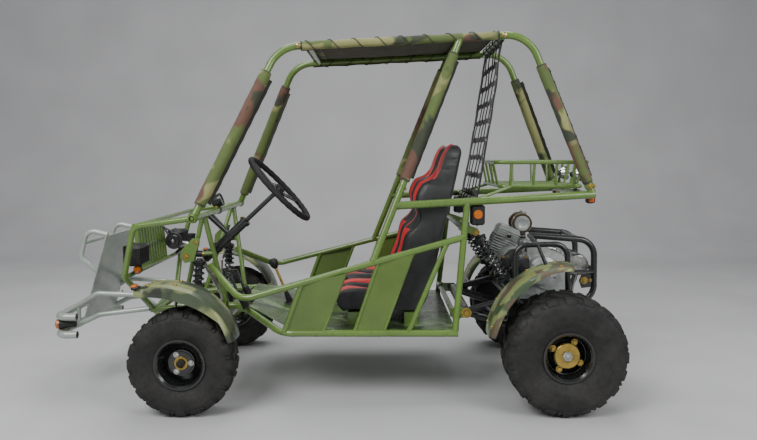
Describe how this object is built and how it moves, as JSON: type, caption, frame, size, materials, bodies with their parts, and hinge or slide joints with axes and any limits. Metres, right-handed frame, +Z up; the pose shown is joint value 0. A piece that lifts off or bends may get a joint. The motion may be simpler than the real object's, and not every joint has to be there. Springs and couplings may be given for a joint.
{
  "type": "off-road kart",
  "caption": "Open off-road kart with a tube frame, padded roll cage, cloth roof, side-by-side bucket seats and a rear engine on a swing arm.",
  "frame": {"origin": "on the ground under the middle of the overall box", "axes": "+X forward, +Y to the kart's left, +Z up"},
  "size_m": [2.6464, 1.366, 1.7063],
  "materials": {
    "frame_green": "gloss",
    "panel_olive": "satin",
    "camo_paint": "satin",
    "camo_cloth": "matte",
    "net_black": "matte",
    "bumper_silver": "satin",
    "lamp_black": "gloss",
    "lamp_amber": "gloss",
    "lamp_red": "gloss",
    "seat_black": "matte",
    "control_black": "matte",
    "black_paint": "satin",
    "engine_alloy": "cast",
    "filter_bronze": "satin",
    "exhaust_silver": "satin",
    "steel_zinc": "satin",
    "rim_black": "gloss",
    "tyre_black": "matte"
  },
  "bodies": {
    "chassis": {"lower_frame": "frame_green", "side_frame_left": "frame_green", "side_frame_right": "frame_green", "door_panels": "panel_olive", "floor_pan": "camo_paint", "hood_rail_left": "frame_green", "hood_rail_right": "frame_green", "front_frame": "frame_green", "rear_frame": "frame_green", "cage_left": "frame_green", "cage_right": "frame_green", "cage_bars": "frame_green", "pillar_pads": "camo_cloth", "roof_canopy": "camo_cloth", "rear_net": "net_black", "front_bumper": "bumper_silver", "bumper_shield": "bumper_silver", "grille": "frame_green", "headlamps": "lamp_black", "marker_lamps": "lamp_amber", "rear_rack": "frame_green", "rear_lamps": "lamp_red", "seats": "seat_black", "seat_mounts": "frame_green", "pedals": "black_paint", "shift_lever": "control_black", "steering_column": "black_paint", "rack_housing": "steel_zinc", "front_arms": "frame_green", "front_shocks": "black_paint", "swing_arm": "black_paint", "rear_shocks": "black_paint", "engine_block": "engine_alloy", "engine_cylinder": "engine_alloy", "air_cleaner": "filter_bronze", "exhaust": "exhaust_silver", "chain_case": "black_paint", "engine_guard": "black_paint", "rear_fenders": "camo_paint"},
    "steering": {"steering_wheel": "control_black", "steering_shaft": "black_paint"},
    "rack": {"tie_rods": "steel_zinc"},
    "knuckle_left_body": {"knuckle_left": "steel_zinc", "front_fender_left": "camo_paint"},
    "knuckle_right_body": {"knuckle_right": "steel_zinc", "front_fender_right": "camo_paint"},
    "front_wheel_left": {"front_rim_left": "rim_black", "front_tyre_left": "tyre_black"},
    "front_wheel_right": {"front_rim_right": "rim_black", "front_tyre_right": "tyre_black"},
    "rear_axle_body": {"rear_axle": "steel_zinc", "rear_rim_left": "rim_black", "rear_rim_right": "rim_black", "rear_tyre_left": "tyre_black", "rear_tyre_right": "tyre_black"}
  },
  "joints": [
    {"name": "steering_turn", "type": "hinge", "parent": "chassis", "child": "steering", "pos_m": [0.24, 0.225, 0.976], "axis": [0.7302, 0, -0.6832], "range_deg": [-95, 95]},
    {"name": "rack_slide", "type": "slide", "parent": "chassis", "child": "rack", "axis": [0, 1, 0], "range_m": [-0.047, 0.047]},
    {"name": "knuckle_left_turn", "type": "hinge", "parent": "chassis", "child": "knuckle_left_body", "pos_m": [0.621, 0.45, 0.236], "axis": [0, 0, 1], "range_deg": [-28, 28]},
    {"name": "knuckle_right_turn", "type": "hinge", "parent": "chassis", "child": "knuckle_right_body", "pos_m": [0.621, -0.45, 0.236], "axis": [0, 0, 1], "range_deg": [-28, 28]},
    {"name": "front_wheel_left_spin", "type": "hinge", "parent": "knuckle_left_body", "child": "front_wheel_left", "pos_m": [0.621, 0.58, 0.236], "axis": [0, 1, 0], "continuous": true},
    {"name": "front_wheel_right_spin", "type": "hinge", "parent": "knuckle_right_body", "child": "front_wheel_right", "pos_m": [0.621, -0.58, 0.236], "axis": [0, 1, 0], "continuous": true},
    {"name": "rear_axle_spin", "type": "hinge", "parent": "chassis", "child": "rear_axle_body", "pos_m": [-1.055, 0, 0.268], "axis": [0, 1, 0], "continuous": true}
  ],
  "couplings": [
    {"joint": "rack_slide", "follows": "steering_turn", "m_per_rad": 0.028286},
    {"joint": "knuckle_left_turn", "follows": "steering_turn", "ratio": -0.29474},
    {"joint": "knuckle_right_turn", "follows": "steering_turn", "ratio": -0.29474}
  ]
}
